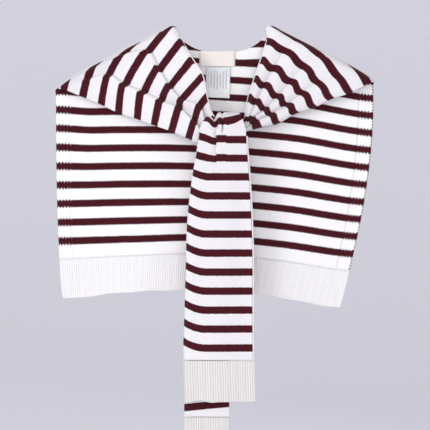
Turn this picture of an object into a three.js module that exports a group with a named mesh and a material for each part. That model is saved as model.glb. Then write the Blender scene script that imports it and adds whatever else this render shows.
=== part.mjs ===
// A fine-gauge knitted shoulder shawl with burgundy stripes, hanging from its two shoulder lines.
// A back panel falls behind. Two front panels run from the shoulders to a half knot at the chest,
// and end in two long ties: one falls in front of the knot, the other hangs behind it.
//
// Millimetres. +Z is up and +X is to the right as the shawl is seen from its front, which faces -Y.
// The origin lies midway between the two neck points, where the shoulder lines start.
import * as THREE from 'three';

// ---- Driving sizes ----

const neckHalfWidth = 70; // origin to each neck point
const neckDepth = 35; // fall of the back neck edge at its middle
const shoulderSlope = 0.5; // fall of a shoulder line per millimetre outwards
const shoulderRunLeft = 157; // neck point to shoulder tip, along X
const shoulderRunRight = 142;
const tipDropLeft = 8; // extra fall where the knit rounds off the shoulder tip
const tipDropRight = 6;

const backLength = 362; // neck point level to the hem at the middle
const hemRibHeight = 50;
const plainBandHeight = 20; // white jersey between the hem rib and the lowest stripe
const sideBandWidth = 20;

const jerseyThickness = 2.4;
const ribThickness = 3.2;
const edgeBead = 2.4; // width of a linked edge
const seamBead = 3; // thickness of a shoulder seam
const gatheredThickness = 9; // a front panel drawn together at the knot

const hangerRoom = 16; // clear depth between the front and back panels at the shoulders
const joinGap = 0.4; // gap between pieces that are linked to each other

const knotTop = 117; // drop of the top of the knot
const knotX = 3; // the knot hangs a little off the middle
const knotHalfWidth = 20.5; // where the front tie turns over the knot
const knotHeight = 35; // top of the knot to the start of the front tie
const turnThickness = 7; // the front tie where it turns over the knot
const passThickness = 10; // a front panel where it passes through the knot
const backPassThickness = 6;

const frontTieTopWidth = 67;
const frontTieWidth = 95;
const frontTieLength = 306; // jersey part, knot to cuff
const cuffHeight = 57;
const rearTieTopWidth = 30;
const rearTieWidth = 62;
const rearTieLength = 369;
const rearTieThickness = 4.6; // folded double along its length

const brandLabelWidth = 50;
const brandLabelHeight = 22;
const careLabelWidth = 34;
const careLabelHeight = 43;
const labelThickness = 0.6;
const stitchThickness = 0.8;

// ---- Worked out from them ----

const LEFT = { sign: -1, run: shoulderRunLeft, tipDrop: tipDropLeft };
const RIGHT = { sign: 1, run: shoulderRunRight, tipDrop: tipDropRight };
const wallDepth = hangerRoom / 2 + jerseyThickness / 2; // middle of a panel below the hanger
const frontCrestY = -1.5; // edge of a front panel at the shoulder seam
const backCrestY = 2; // and of the back panel
const backPassY = -wallDepth + 0.6;
const rightPassY = backPassY - (backPassThickness + passThickness) / 2 - 1;
const leftPassY = rightPassY - passThickness - 1;
const frontTieY = leftPassY - (passThickness + turnThickness) / 2 - 1;
const frontTieTop = -(knotTop + knotHeight);
const rearTieTop = frontTieTop - 16;

const { lerp, smoothstep, clamp } = THREE.MathUtils;
const steps = (from, to, count) => Array.from({ length: count + 1 }, (_, i) => lerp(from, to, i / count));
const vector = (x, y, z) => new THREE.Vector3(x, y, z);

// A smooth value through evenly spaced ones, at a share from 0 to 1
function between(values, share) {
  const curve = new THREE.SplineCurve(values.map((value, i) => new THREE.Vector2(i, value)));
  return curve.getPoint(clamp(share, 0, 1)).y;
}

// A quarter round: 0 at the crest, 1 once the knit has turned down by the given depth
function turnedDown(below, depth) {
  const left = 1 - clamp(below / depth, 0, 1);
  return Math.sqrt(1 - left * left);
}

// ---- Builders ----

// A closed sheet of knit: the grid of a box is laid over the surface point(u, v)
function sheet(point, us, vs, thickness) {
  const geometry = new THREE.BoxGeometry(1, 1, 1, us.length - 1, vs.length - 1, 1);
  const place = geometry.getAttribute('position');
  const step = 1e-3;
  for (let i = 0; i < place.count; i++) {
    const u = us[Math.round((place.getX(i) + 0.5) * (us.length - 1))];
    const v = vs[Math.round((place.getY(i) + 0.5) * (vs.length - 1))];
    const alongU = point(u + step, v).sub(point(u - step, v));
    const alongV = point(u, v + step).sub(point(u, v - step));
    const normal = alongU.cross(alongV).normalize();
    const half = (typeof thickness === 'function' ? thickness(u, v) : thickness) / 2;
    const spot = point(u, v).addScaledVector(normal, Math.sign(place.getZ(i)) * half);
    place.setXYZ(i, spot.x, spot.y, spot.z);
  }
  return geometry;
}

// A gathered roll of knit: an oval section carried along a path, tall along one axis
function roll(path, halfHeight, halfDepth, tallAxis, lengthSteps = 8) {
  const curve = new THREE.CatmullRomCurve3(path.map((spot) => vector(...spot)));
  const geometry = new THREE.CylinderGeometry(1, 1, 1, 12, lengthSteps);
  const place = geometry.getAttribute('position');
  for (let i = 0; i < place.count; i++) {
    const t = place.getY(i) + 0.5;
    const along = curve.getTangent(t);
    const tall = vector(...tallAxis).addScaledVector(along, -along.dot(vector(...tallAxis))).normalize();
    const deep = tall.clone().cross(along);
    const spot = curve.getPoint(t)
      .addScaledVector(tall, place.getX(i) * between(halfHeight, t))
      .addScaledVector(deep, place.getZ(i) * between(halfDepth, t));
    place.setXYZ(i, spot.x, spot.y, spot.z);
  }
  return geometry;
}

const burgundyKnit = new THREE.MeshStandardMaterial({ color: 0x65212f, roughness: 0.9, metalness: 0 });
const whiteKnit = new THREE.MeshStandardMaterial({ color: 0xf6f5f7, roughness: 0.9, metalness: 0 });
const satin = new THREE.MeshStandardMaterial({ color: 0xe8e4dd, roughness: 0.5, metalness: 0 });

const shawl = new THREE.Group();

function add(name, geometry, material, parent = shawl) {
  const mesh = new THREE.Mesh(geometry, material);
  mesh.name = name;
  parent.add(mesh);
  return mesh;
}

// ---- Shoulder and neck lines ----

// Height of a shoulder line, a given run outwards from its neck point
function crestZ(side, run) {
  return -shoulderSlope * run - side.tipDrop * (Math.max(run, 0) / side.run) ** 8;
}

function neckZ(x) {
  return -neckDepth * (1 - Math.min(Math.abs(x) / neckHalfWidth, 1) ** 3);
}

function backTopZ(x) {
  const side = x < 0 ? LEFT : RIGHT;
  const run = Math.abs(x) - neckHalfWidth;
  return run > 0 ? crestZ(side, run) : neckZ(x);
}

// ---- Back panel ----
// It hangs level on the left, and its right half swings down and inwards. Courses are counted in
// millimetres of knitting above the hem, and shares run across it from its left edge to its right.

const leftEdgeX = -(neckHalfWidth + shoulderRunLeft) - 1;
const rightEdgeX = neckHalfWidth + shoulderRunRight - 3;
const leftEdgeInset = 8;
const rightEdgeInset = 46;
const tipCourse = backLength - 66;
const lowStripeCourse = hemRibHeight + plainBandHeight + 4;
const hemSag = [12, 2, 0, 8, 24]; // how far the hem hangs below its middle
const lowReach = [1.05, 0.95, 0.95, 0.94, 0.97]; // drop of a millimetre of knitting below that stripe
const highReach = [0.99, 0.98, 0.94, 0.94, 0.92]; // and above it
const hemWave = 4;

function backX(share, course) {
  const fall = clamp(1 - course / tipCourse, 0, 1);
  return lerp(leftEdgeX + leftEdgeInset * fall ** 3, rightEdgeX - rightEdgeInset * fall ** 1.8, share);
}

function backZ(share, course) {
  const low = Math.min(course, lowStripeCourse);
  const high = course - low;
  return -backLength - between(hemSag, share) + low * between(lowReach, share) + high * between(highReach, share);
}

function backPoint(share, course) {
  const x = backX(share, course);
  const z = backZ(share, course);
  const run = Math.abs(x) - neckHalfWidth;
  const below = (run > 0 ? backTopZ(x) : 0) - z; // the neck edge hangs free of the hanger
  const wave = hemWave * clamp(below / backLength, 0, 1) * Math.sin(2 * Math.PI * (2.2 * share + 0.1));
  return vector(x, lerp(backCrestY, wallDepth, turnedDown(below, wallDepth)) + wave, z);
}

// The course at which a share of the panel meets the shoulder line or the neck edge
function topCourse(share) {
  let course = backLength;
  for (let i = 0; i < 8; i++) {
    course += (backTopZ(backX(share, course)) - backZ(share, course)) / between(highReach, share);
  }
  return course;
}

const shareOfX = (x) => (x - leftEdgeX) / (rightEdgeX - leftEdgeX);
const backShare = (distance) => distance / (rightEdgeX - leftEdgeX);
const neckShares = [shareOfX(-neckHalfWidth), shareOfX(neckHalfWidth)];
const aboveHem = hemRibHeight + joinGap;
const bandShare = backShare(sideBandWidth);
const gapShare = backShare(1.5 * joinGap);

function backPiece(name, shares, below) {
  const point = (share, v) => backPoint(share, lerp(aboveHem, topCourse(share) - below(share), v));
  add(name, sheet(point, shares, backRows, jerseyThickness), burgundyKnit);
}

// The knit turns over the hanger near the crest, so rows crowd there
const backRows = [0, 0.2, 0.4, 0.6, 0.8, 0.92, 0.97, 0.99, 1];
const toTheCrest = () => 0;
backPiece('back_side_band_left', steps(0, bandShare, 2), toTheCrest);
const neckStations = steps(neckShares[0] + 4 * gapShare, neckShares[1] - 4 * gapShare, 12);
backPiece(
  'back_panel',
  [
    ...steps(bandShare + gapShare, neckShares[0], 6),
    ...neckStations,
    ...steps(neckShares[1], 1 - bandShare - gapShare, 6),
  ],
  (share) => (share > neckShares[0] && share < neckShares[1] ? edgeBead + 2 * joinGap : 0),
);
backPiece('back_side_band_right', steps(1 - bandShare, 1, 2), toTheCrest);
add('back_hem_rib', sheet(backPoint, steps(0, 1, 20), steps(0, hemRibHeight, 2), ribThickness), whiteKnit);

// The back neck edge is linked off with a narrow bead
function neckEdgePoint(share, rise) {
  return backPoint(share, topCourse(share) - rise);
}
add(
  'back_neck_edge',
  sheet(
    (share, v) => neckEdgePoint(share, edgeBead * (1 - v)),
    neckStations,
    [0, 1],
    jerseyThickness + 0.6,
  ),
  burgundyKnit,
);

// ---- Front panels ----
// Each is one long strip. Its lower edge runs straight from the shoulder tip to the knot, and its
// upper edge follows the shoulder seam to the neck point and then falls as the front neck edge.

function frontPanel(side, shape) {
  const tipX = side.sign * (neckHalfWidth + side.run);
  const tipZ = crestZ(side, side.run);
  const lowerEnd = vector(knotX + side.sign * shape.lowerReach, 0, -(knotTop + shape.lowerDrop));
  const upperEnd = vector(knotX + side.sign * shape.upperReach, 0, -(knotTop + 2));

  function lower(along) {
    const sag = shape.sag * 4 * along * (1 - along);
    return vector(lerp(tipX, lowerEnd.x, along), 0, lerp(tipZ - 5, lowerEnd.z, along) - sag);
  }

  function upper(along) {
    if (along <= shape.neckShare) {
      const run = side.run * (1 - along / shape.neckShare);
      return vector(side.sign * (neckHalfWidth + run), 0, crestZ(side, run) - joinGap / 2);
    }
    const fall = (along - shape.neckShare) / (1 - shape.neckShare);
    const bow = shape.bow * 4 * fall * (1 - fall);
    const x = lerp(side.sign * neckHalfWidth, upperEnd.x, fall) - side.sign * bow;
    return vector(x, 0, lerp(0, upperEnd.z, fall));
  }

  return (across, along) => {
    const share = clamp(along, 0, 1);
    const point = lower(along).lerp(upper(along), across);
    const onHanger = 1 - smoothstep(share, shape.neckShare, shape.neckShare + 0.3);
    const below = lower(share).distanceTo(upper(share)) * (1 - across);
    const rest = 1 - onHanger * (1 - turnedDown(below, wallDepth));
    const depth = lerp(wallDepth, -shape.knotY, smoothstep(share, 0.35, 1));
    point.y = lerp(frontCrestY, -depth, rest);
    return point;
  };
}

const leftShape = {
  neckShare: 0.43, lowerReach: 38.5, lowerDrop: 42.5, upperReach: 22.5, sag: 0, bow: 6, knotY: leftPassY,
};
const rightShape = {
  neckShare: 0.2, lowerReach: 31.5, lowerDrop: 30, upperReach: 26.5, sag: 3, bow: 2, knotY: rightPassY,
};
const leftPoint = frontPanel(LEFT, leftShape);
const rightPoint = frontPanel(RIGHT, rightShape);

// Where its neck edge is free, a panel stops short of the bead that finishes it
const neckEdgeInner = 0.97;
function frontPanelSheet(point, neckShare) {
  const reach = (along) => (along > neckShare ? neckEdgeInner - 0.012 : 1);
  const place = (across, along) => point(across * reach(along), along);
  return sheet(place, acrossPanel, alongPanel(neckShare), (across, along) => gathering(along));
}

function gathering(along) {
  return lerp(jerseyThickness, gatheredThickness, smoothstep(along, 0.4, 1));
}

const acrossPanel = [0, 0.3, 0.6, 0.8, 0.9, 0.97, 1];
function neckEdgeStations(neckShare) {
  return [neckShare + 0.03, ...steps(neckShare, 1, 8).slice(1, -1), 0.99];
}
function alongPanel(neckShare) {
  return [...steps(0, neckShare, 6), ...neckEdgeStations(neckShare), 1];
}
function frontNeckEdge(point, neckShare) {
  const place = (v, u) => point(lerp(neckEdgeInner, 0.995, v), u);
  return sheet(place, [0, 1], neckEdgeStations(neckShare), (v, u) => gathering(u) * 0.9);
}

add('left_front_panel', frontPanelSheet(leftPoint, leftShape.neckShare), burgundyKnit);
add('right_front_panel', frontPanelSheet(rightPoint, rightShape.neckShare), burgundyKnit);
add('left_front_neck_edge', frontNeckEdge(leftPoint, leftShape.neckShare), whiteKnit);
add('right_front_neck_edge', frontNeckEdge(rightPoint, rightShape.neckShare), whiteKnit);

// ---- Shoulder seams ----
// A linked seam lies along each shoulder line, between the two edges that it joins.

function shoulderSeam(side) {
  const halfDepth = (backCrestY - frontCrestY) / 2 - joinGap;
  const runs = steps(side.run * 0.01, side.run * 0.99, 6);
  const path = runs.map((run) => [
    side.sign * (neckHalfWidth + run), (backCrestY + frontCrestY) / 2, crestZ(side, run) + 0.3,
  ]);
  return roll(path, [seamBead / 2, seamBead / 2], [halfDepth, halfDepth], [0, 0, 1], 6);
}
add('shoulder_seam_left', shoulderSeam(LEFT), whiteKnit);
add('shoulder_seam_right', shoulderSeam(RIGHT), whiteKnit);

// ---- Half knot ----
// The left panel crosses in front of the right one, goes round behind it, comes up through the
// neck and turns down over the knot. The right panel passes through behind and falls at the back.

const turnRadius = (backPassY - frontTieY) / 2;
const turnMiddleY = (backPassY + frontTieY) / 2;
const turnMiddleZ = -knotTop - turnThickness / 2 - turnRadius;
const knotCentreZ = turnMiddleZ - 5; // the crossings lie under the turn
const narrowing = 26.6 - turnRadius - turnThickness / 2; // half height left where one goes in under it
const leftEnd = leftPoint(0.5, 1);
const rightEnd = rightPoint(0.5, 1);
const leftSlant = leftPoint(1, 1).sub(leftPoint(0, 1));
const rightSlant = rightPoint(1, 1).sub(rightPoint(0, 1));
// A spot in line with a panel's gathered end, a given way on into the knot
function beyond(end, slant, inwards, distance) {
  const ahead = vector(slant.z, 0, -slant.x).normalize().multiplyScalar(inwards * distance);
  return end.clone().add(ahead).toArray();
}

add('left_front_crossing', roll(
  [
    beyond(leftEnd, leftSlant, 1, joinGap),
    beyond(leftEnd, leftSlant, 1, 9),
    [knotX, leftPassY, knotCentreZ - 7],
    [knotX + 17, leftPassY, knotCentreZ - 8],
  ],
  [leftSlant.length() * 0.42, 12, 10.5, 10], Array(4).fill(passThickness / 2), leftSlant.toArray(),
), burgundyKnit);

add('right_front_crossing', roll(
  [
    beyond(rightEnd, rightSlant, -1, joinGap),
    beyond(rightEnd, rightSlant, -1, 6),
    [knotX + 2, rightPassY, knotCentreZ - 5.5],
    [knotX - 18, rightPassY, knotCentreZ - 12],
    [knotX - 23.5, rightPassY, rearTieTop + 7],
    [knotX - 23.5, rightPassY, rearTieTop + joinGap],
  ],
  [rightSlant.length() * 0.4, narrowing, 10.5, 11, 12, 13], [...Array(5).fill(passThickness / 2), 4], rightSlant.toArray(),
), burgundyKnit);

add('knot_wrap', roll(
  [
    [knotX + 20.7, leftPassY, knotCentreZ - 8.2],
    [knotX + 23.7, leftPassY, knotCentreZ - 9.7],
    [knotX + 26, leftPassY + 5, knotCentreZ - 19],
    [knotX + 23, (leftPassY + backPassY) / 2, knotCentreZ - 28],
    [knotX + 15, backPassY - 1, knotCentreZ - 24],
    [knotX + 6, backPassY, knotCentreZ - 14],
  ],
  [9, 8, 5, 5, 6, 8], [4, 4, 4, 3, 3, 2.8], [0.2, 0, 1],
), burgundyKnit);

// The turn climbs behind the crossing, bends over it and comes down in front
const backLimb = 8;
const frontLimb = turnMiddleZ - frontTieTop;
const turnLength = backLimb + Math.PI * turnRadius + frontLimb;

function turnPoint(across, along) {
  const travelled = along * turnLength;
  const widening = smoothstep(along, 0.55, 1);
  const half = lerp(knotHalfWidth, frontTieTopWidth / 2, widening);
  const x = knotX - 2 * widening + lerp(-half, half, across);
  if (travelled < backLimb) return vector(x, backPassY, turnMiddleZ - backLimb + travelled);
  const round = Math.min(travelled - backLimb, Math.PI * turnRadius) / turnRadius;
  const past = Math.max(travelled - backLimb - Math.PI * turnRadius, 0);
  return vector(
    x,
    turnMiddleY + turnRadius * Math.cos(round),
    turnMiddleZ + turnRadius * Math.sin(round) - past,
  );
}
add('front_tie_turn', sheet(
  (across, along) => turnPoint(across, along), steps(0, 1, 4), [0, 0.1, ...steps(0.14, 0.72, 8), 1 - 0.2 / turnLength],
  (across, along) => lerp(backPassThickness - 0.5, turnThickness, along),
), burgundyKnit);

// ---- Ties ----
// A tie is a flat strip that starts gathered at the knot and opens to its full width.

function hangingStrip(middle, width, depth, top) {
  return (across, fall) => vector(middle(fall) + width(fall) * (across - 0.5), depth(fall), top - fall);
}

const frontTieCuffTop = frontTieTop - frontTieLength;
const frontTie = hangingStrip(
  (fall) => lerp(knotX - 2, knotX - 6.5, smoothstep(fall, 0, 180)),
  (fall) => lerp(frontTieTopWidth, frontTieWidth, 1 - Math.exp(-fall / 95)),
  (fall) => frontTieY + 6 * smoothstep(fall, 60, 300),
  frontTieTop,
);
const frontTieThickness = (fall) => lerp(turnThickness, jerseyThickness + 1, smoothstep(fall, 0, 160));
const selvedgeShare = edgeBead / frontTieWidth;
add('front_tie', sheet(
  (u, v) => frontTie(u, v), [0, 0.33, 0.66, 1 - selvedgeShare - 0.005],
  [joinGap, 30, 70, 120, 190, 250, frontTieLength - joinGap], (u, v) => frontTieThickness(v),
), burgundyKnit);
add('front_tie_selvedge', sheet(
  (u, v) => frontTie(u, v), [1 - selvedgeShare, 1],
  [joinGap, 30, 70, 120, 190, 250, frontTieLength - joinGap], (u, v) => frontTieThickness(v) * 0.8,
), whiteKnit);
add('front_tie_rib', sheet(
  (u, v) => frontTie(u, v), [0, 0.33, 0.66, 1], [frontTieLength, frontTieLength + cuffHeight / 2,
    frontTieLength + cuffHeight], ribThickness,
), whiteKnit);

// Its top is round about the point that it sways on, so it stays clear of the knot
const rearSway = rearTieTopWidth / 2;
function rearTieWidthAt(fall) {
  if (fall < rearSway) return 2 * Math.sqrt(rearSway ** 2 - (rearSway - fall) ** 2);
  return lerp(rearTieTopWidth, rearTieWidth, 1 - Math.exp(-(fall - rearSway) / 100));
}
const rearTie = hangingStrip(
  () => knotX - 23.5,
  rearTieWidthAt,
  (fall) => rightPassY + 3 * smoothstep(fall, 20, 200),
  rearTieTop,
);
const rearTieThick = (fall) => lerp(8, rearTieThickness, smoothstep(fall, 0, 140));
add('rear_tie', sheet(
  (u, v) => rearTie(u, v), [0, 0.5, 1],
  [joinGap, 0.15 * rearSway, 0.5 * rearSway, rearSway, 50, 90, 150, 220, 300, rearTieLength - joinGap],
  (u, v) => rearTieThick(v),
), burgundyKnit);
add('rear_tie_rib', sheet(
  (u, v) => rearTie(u, v), [0, 0.5, 1], [rearTieLength, rearTieLength + cuffHeight / 2,
    rearTieLength + cuffHeight], rearTieThickness,
), whiteKnit);

// ---- Labels ----
// A blank woven label is sewn inside the back neck along its two ends. A satin care label hangs
// from its lower edge and can be lifted.

const brandLabelX = -6.5;
const brandLabelTop = -neckDepth + 2;
const labelY = backPoint(shareOfX(0), backLength - neckDepth - 12).y - jerseyThickness / 2 - 1.6;
const brandLabelBottom = brandLabelTop - brandLabelHeight;
const stitchInset = 2;

function block(width, depth, height) {
  return new THREE.BoxGeometry(width, depth, height, 2, 1, 3);
}

const brandLabel = add('brand_label', block(brandLabelWidth, labelThickness, brandLabelHeight), satin);
brandLabel.position.set(brandLabelX, labelY, (brandLabelTop + brandLabelBottom) / 2);
for (const [name, sign] of [['label_stitch_left', -1], ['label_stitch_right', 1]]) {
  const stitch = add(name, block(stitchThickness, stitchThickness, brandLabelHeight - 2), whiteKnit);
  stitch.position.set(
    brandLabelX + sign * (brandLabelWidth / 2 - stitchInset),
    labelY - (labelThickness + stitchThickness) / 2 - 0.3,
    (brandLabelTop + brandLabelBottom) / 2,
  );
}
const careLabel = add('care_label', block(careLabelWidth, labelThickness, careLabelHeight), satin);
careLabel.position.set(-5, labelY, brandLabelBottom - joinGap - careLabelHeight / 2);

export default shawl;
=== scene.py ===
# %% [markdown]
# # A striped knitted shoulder shawl
# The shawl is soft knitwear: a back panel, two long front panels that are tied in a half knot, and
# a few ribs, seams and labels. The CAD frame holds each piece as a plain closed solid. Here each
# piece is made again as the thin cloth that it is, in the place that its solid holds, so that the
# joints of the frame can carry it. Everything is worked out in millimetres and turned to metres
# when a mesh is made.

import bpy
import numpy as np
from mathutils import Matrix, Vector


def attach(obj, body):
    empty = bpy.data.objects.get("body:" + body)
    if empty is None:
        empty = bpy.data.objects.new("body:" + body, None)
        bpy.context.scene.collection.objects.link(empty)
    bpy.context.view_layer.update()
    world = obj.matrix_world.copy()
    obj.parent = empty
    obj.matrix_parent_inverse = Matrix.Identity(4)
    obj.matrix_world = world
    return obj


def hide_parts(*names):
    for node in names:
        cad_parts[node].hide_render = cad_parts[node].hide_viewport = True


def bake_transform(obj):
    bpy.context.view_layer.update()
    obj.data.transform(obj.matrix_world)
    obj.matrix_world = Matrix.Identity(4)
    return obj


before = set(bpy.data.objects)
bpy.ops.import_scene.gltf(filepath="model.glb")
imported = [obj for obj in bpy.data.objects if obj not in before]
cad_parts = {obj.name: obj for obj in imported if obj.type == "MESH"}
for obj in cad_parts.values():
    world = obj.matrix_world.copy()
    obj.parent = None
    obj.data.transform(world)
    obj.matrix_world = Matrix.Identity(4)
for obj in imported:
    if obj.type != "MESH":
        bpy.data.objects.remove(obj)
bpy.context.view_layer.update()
MM = 0.001

# %% [markdown]
# ## Sizes
# The shawl's own sizes, in millimetres, are the ones that the frame was made from. The origin lies
# midway between the two neck points, Z is up, and the front faces -Y.

# %% Sizes of the shawl
NECK_HALF, NECK_DEPTH = 70.0, 35.0
SHOULDER_SLOPE = 0.5
RUN_LEFT, RUN_RIGHT = 157.0, 142.0
DROP_LEFT, DROP_RIGHT = 8.0, 6.0
BACK_LENGTH, HEM_RIB, PLAIN_BAND, SIDE_BAND = 362.0, 50.0, 20.0, 20.0
WALL_DEPTH = 9.2  # a panel's distance from the middle of the hanger
FRONT_CREST_Y, BACK_CREST_Y = -1.5, 2.0
LEFT_KNOT_Y, RIGHT_KNOT_Y, BACK_PASS_Y, FRONT_TIE_Y = -28.6, -17.6, -8.6, -38.1
KNIT = 2.0  # thickness of the plain knit
STRIPE_PERIOD, STRIPE_WIDTH = 26.0, 10.3
RIB_PERIOD = 3.4
FRONT_HINGE_Z = -152.0
REAR_TIE_TOP = -168.0
print("shawl:", 2 * NECK_HALF + RUN_LEFT + RUN_RIGHT, "mm wide, back", BACK_LENGTH, "mm long")

# %% [markdown]
# ## Shared curves
# Knitting has no sharp corners, so a few soft curves draw everything. The shoulder lines and the
# neck are formulas of x, the same ones that the frame's solids follow.

# %% Shared curves
def smooth(value, low, high):
    """0 below low, 1 above high, and a soft rise between them."""
    share = np.clip((value - low) / (high - low), 0, 1)
    return share * share * (3 - 2 * share)


def hump(value, middle, half, power=2):
    """1 at the middle, falling softly to nothing on both sides."""
    return np.exp(-(((value - middle) / half) ** power))


def spline(before, here, there, after, part):
    """A soft way from here to there, led by the values before and after them."""
    bend = 2 * before - 5 * here + 4 * there - after + part * (3 * (here - there) + after - before)
    return here + 0.5 * part * (there - before + part * bend)


def through(values, share):
    """A soft curve through evenly spaced values, read at shares from 0 to 1."""
    values = np.asarray(values, float)
    spans = len(values) - 1
    at = np.clip(share, 0, 1) * spans
    first = np.minimum(at.astype(int), spans - 1)
    part = at - first
    before, here = values[np.maximum(first - 1, 0)], values[first]
    there, after = values[first + 1], values[np.minimum(first + 2, spans)]
    part = part.reshape(part.shape + (1,) * (values.ndim - 1))
    return spline(before, here, there, after, part)


def turned_down(below, depth=WALL_DEPTH):
    """0 at the crest of a shoulder, 1 once the knit has turned down over it."""
    left = 1 - np.clip(below / depth, 0, 1)
    return np.sqrt(1 - left * left)


def crest_z(x):
    """Height of the shoulder lines; 0 between the neck points."""
    run = np.abs(x) - NECK_HALF
    whole = np.where(x < 0, RUN_LEFT, RUN_RIGHT)
    drop = np.where(x < 0, DROP_LEFT, DROP_RIGHT)
    out = np.maximum(run, 0)
    return -SHOULDER_SLOPE * out - drop * (out / whole) ** 8


def neck_z(x):
    """Height of the back neck's edge; 0 at the neck points."""
    return -NECK_DEPTH * (1 - np.minimum(np.abs(x) / NECK_HALF, 1) ** 3)


print("shoulder tips at", crest_z(np.array([-NECK_HALF - RUN_LEFT, NECK_HALF + RUN_RIGHT])), "mm")


# %% [markdown]
# ## Yarn colours and the node helpers
# Two yarns make the shawl: a clean white and a deep burgundy. Each has a second, darker colour:
# painted shade for the low places between its stitches. They are sRGB hex values, turned to the
# linear ones of a shader.

# %% Colours and the node helpers
# Each yarn comes with a painted shade: the darker colour that the low places between its stitches take.
WHITE_YARN, WHITE_SHADE = "F5F3F5", "DCD8DC"
# Painted light: the back and its bands take a brighter copy of the same white yarn than the gathered panels
# and ties.
LIT_WHITE = ("FEFDFD", "EEEBEC")  # the back and its bands, which are not gathered
# Painted shade: the cuffs' second colour is darker than the hem's, for the shade in their open rib furrows.
CUFF_WHITE = ("F7F4F2", "C9C5C2")  # the ties' cuffs, whose ribs stand open
HEM_WHITE = ("FEFDFD", "E0DDDE")  # the hem's rib, which is pulled flat
BURGUNDY_YARN, BURGUNDY_SHADE = "520A1C", "2A040C"


def linear(hex_colour, alpha=1.0):
    """The linear colour of an sRGB hex value."""
    parts = [int(hex_colour[i : i + 2], 16) / 255 for i in (0, 2, 4)]
    return [c / 12.92 if c <= 0.04045 else ((c + 0.055) / 1.055) ** 2.4 for c in parts] + [alpha]


def add_node(tree, kind, settings=None, inputs=None):
    """Add a node, set its properties, and feed its inputs with sockets or with plain values."""
    made = tree.nodes.new(kind)
    for key, value in (settings or {}).items():
        setattr(made, key, value)
    for key, value in (inputs or {}).items():
        if isinstance(value, bpy.types.NodeSocket):
            tree.links.new(value, made.inputs[key])
        else:
            made.inputs[key].default_value = value
    return made


def maths(tree, steps, start):
    """Carry a value through a chain of maths steps, each an operation and its other operands."""
    value = start
    for operation, *others in steps:
        inputs = dict(enumerate([value, *others]))
        value = add_node(tree, "ShaderNodeMath", {"operation": operation}, inputs).outputs[0]
    return value


def mixed(tree, share, first, second):
    """Mix two colours: the first at share 0, the second at share 1."""
    inputs = {0: share, 6: first, 7: second}
    return add_node(tree, "ShaderNodeMix", {"data_type": "RGBA"}, inputs).outputs[2]


def softly(tree, value, low, high, start, end):
    """Go softly from start to end while a value goes from low to high."""
    inputs = {0: value, 1: low, 2: high, 3: start, 4: end}
    return add_node(tree, "ShaderNodeMapRange", {"interpolation_type": "SMOOTHSTEP"}, inputs).outputs[0]


def noise(tree, uv, scale, detail):
    """Soft noise over the UV map, about 0.5."""
    inputs = {"Vector": uv, "Scale": scale, "Detail": detail}
    return add_node(tree, "ShaderNodeTexNoise", {"noise_dimensions": "2D"}, inputs).outputs[0]


def cloth_material(name):
    """An empty material, its tree, and its UV map: whole, across and along the cloth."""
    material = bpy.data.materials.new(name)
    material.use_nodes = True
    tree = material.node_tree
    tree.nodes.clear()
    uv = add_node(tree, "ShaderNodeUVMap", {"uv_map": "knit"}).outputs[0]
    apart = add_node(tree, "ShaderNodeSeparateXYZ", inputs={0: uv})
    return material, tree, uv, apart.outputs[0], apart.outputs[1]


def finished(material, tree, inputs):
    """Put a shader with these inputs at the end of a material's tree."""
    shader = add_node(tree, "ShaderNodeBsdfPrincipled", inputs=inputs)
    add_node(tree, "ShaderNodeOutputMaterial", inputs={0: shader.outputs[0]})
    return material


print("white yarn in linear values:", [round(part, 3) for part in linear(WHITE_YARN)])

# %% [markdown]
# ## Knitted jersey
# Plain jersey is knitted in fine gauge from a soft matt yarn. Its right side shows columns of small
# V shapes, its reverse rows of small bumps, and both scatter light widely, so the roughness is high
# and a little sheen stands for the loose fibres. Each piece has a UV map in millimetres of knitting,
# U across and V along, so the stripes follow the cloth through every fold. The real columns are
# about 1.8 mm apart; they are drawn 2.6 mm apart, because finer ones would not show. In the same
# way the teeth of the side bands are drawn 4.4 mm apart, and the real ones are about 3.6 mm apart.

# %% The knit material
WALE, COURSE = 2.6, 2.3
TOOTH = 4.4
FLOAT_STEP, FLOAT_REACH = 2.2, 2.6  # the floats at the right selvedge


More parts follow.
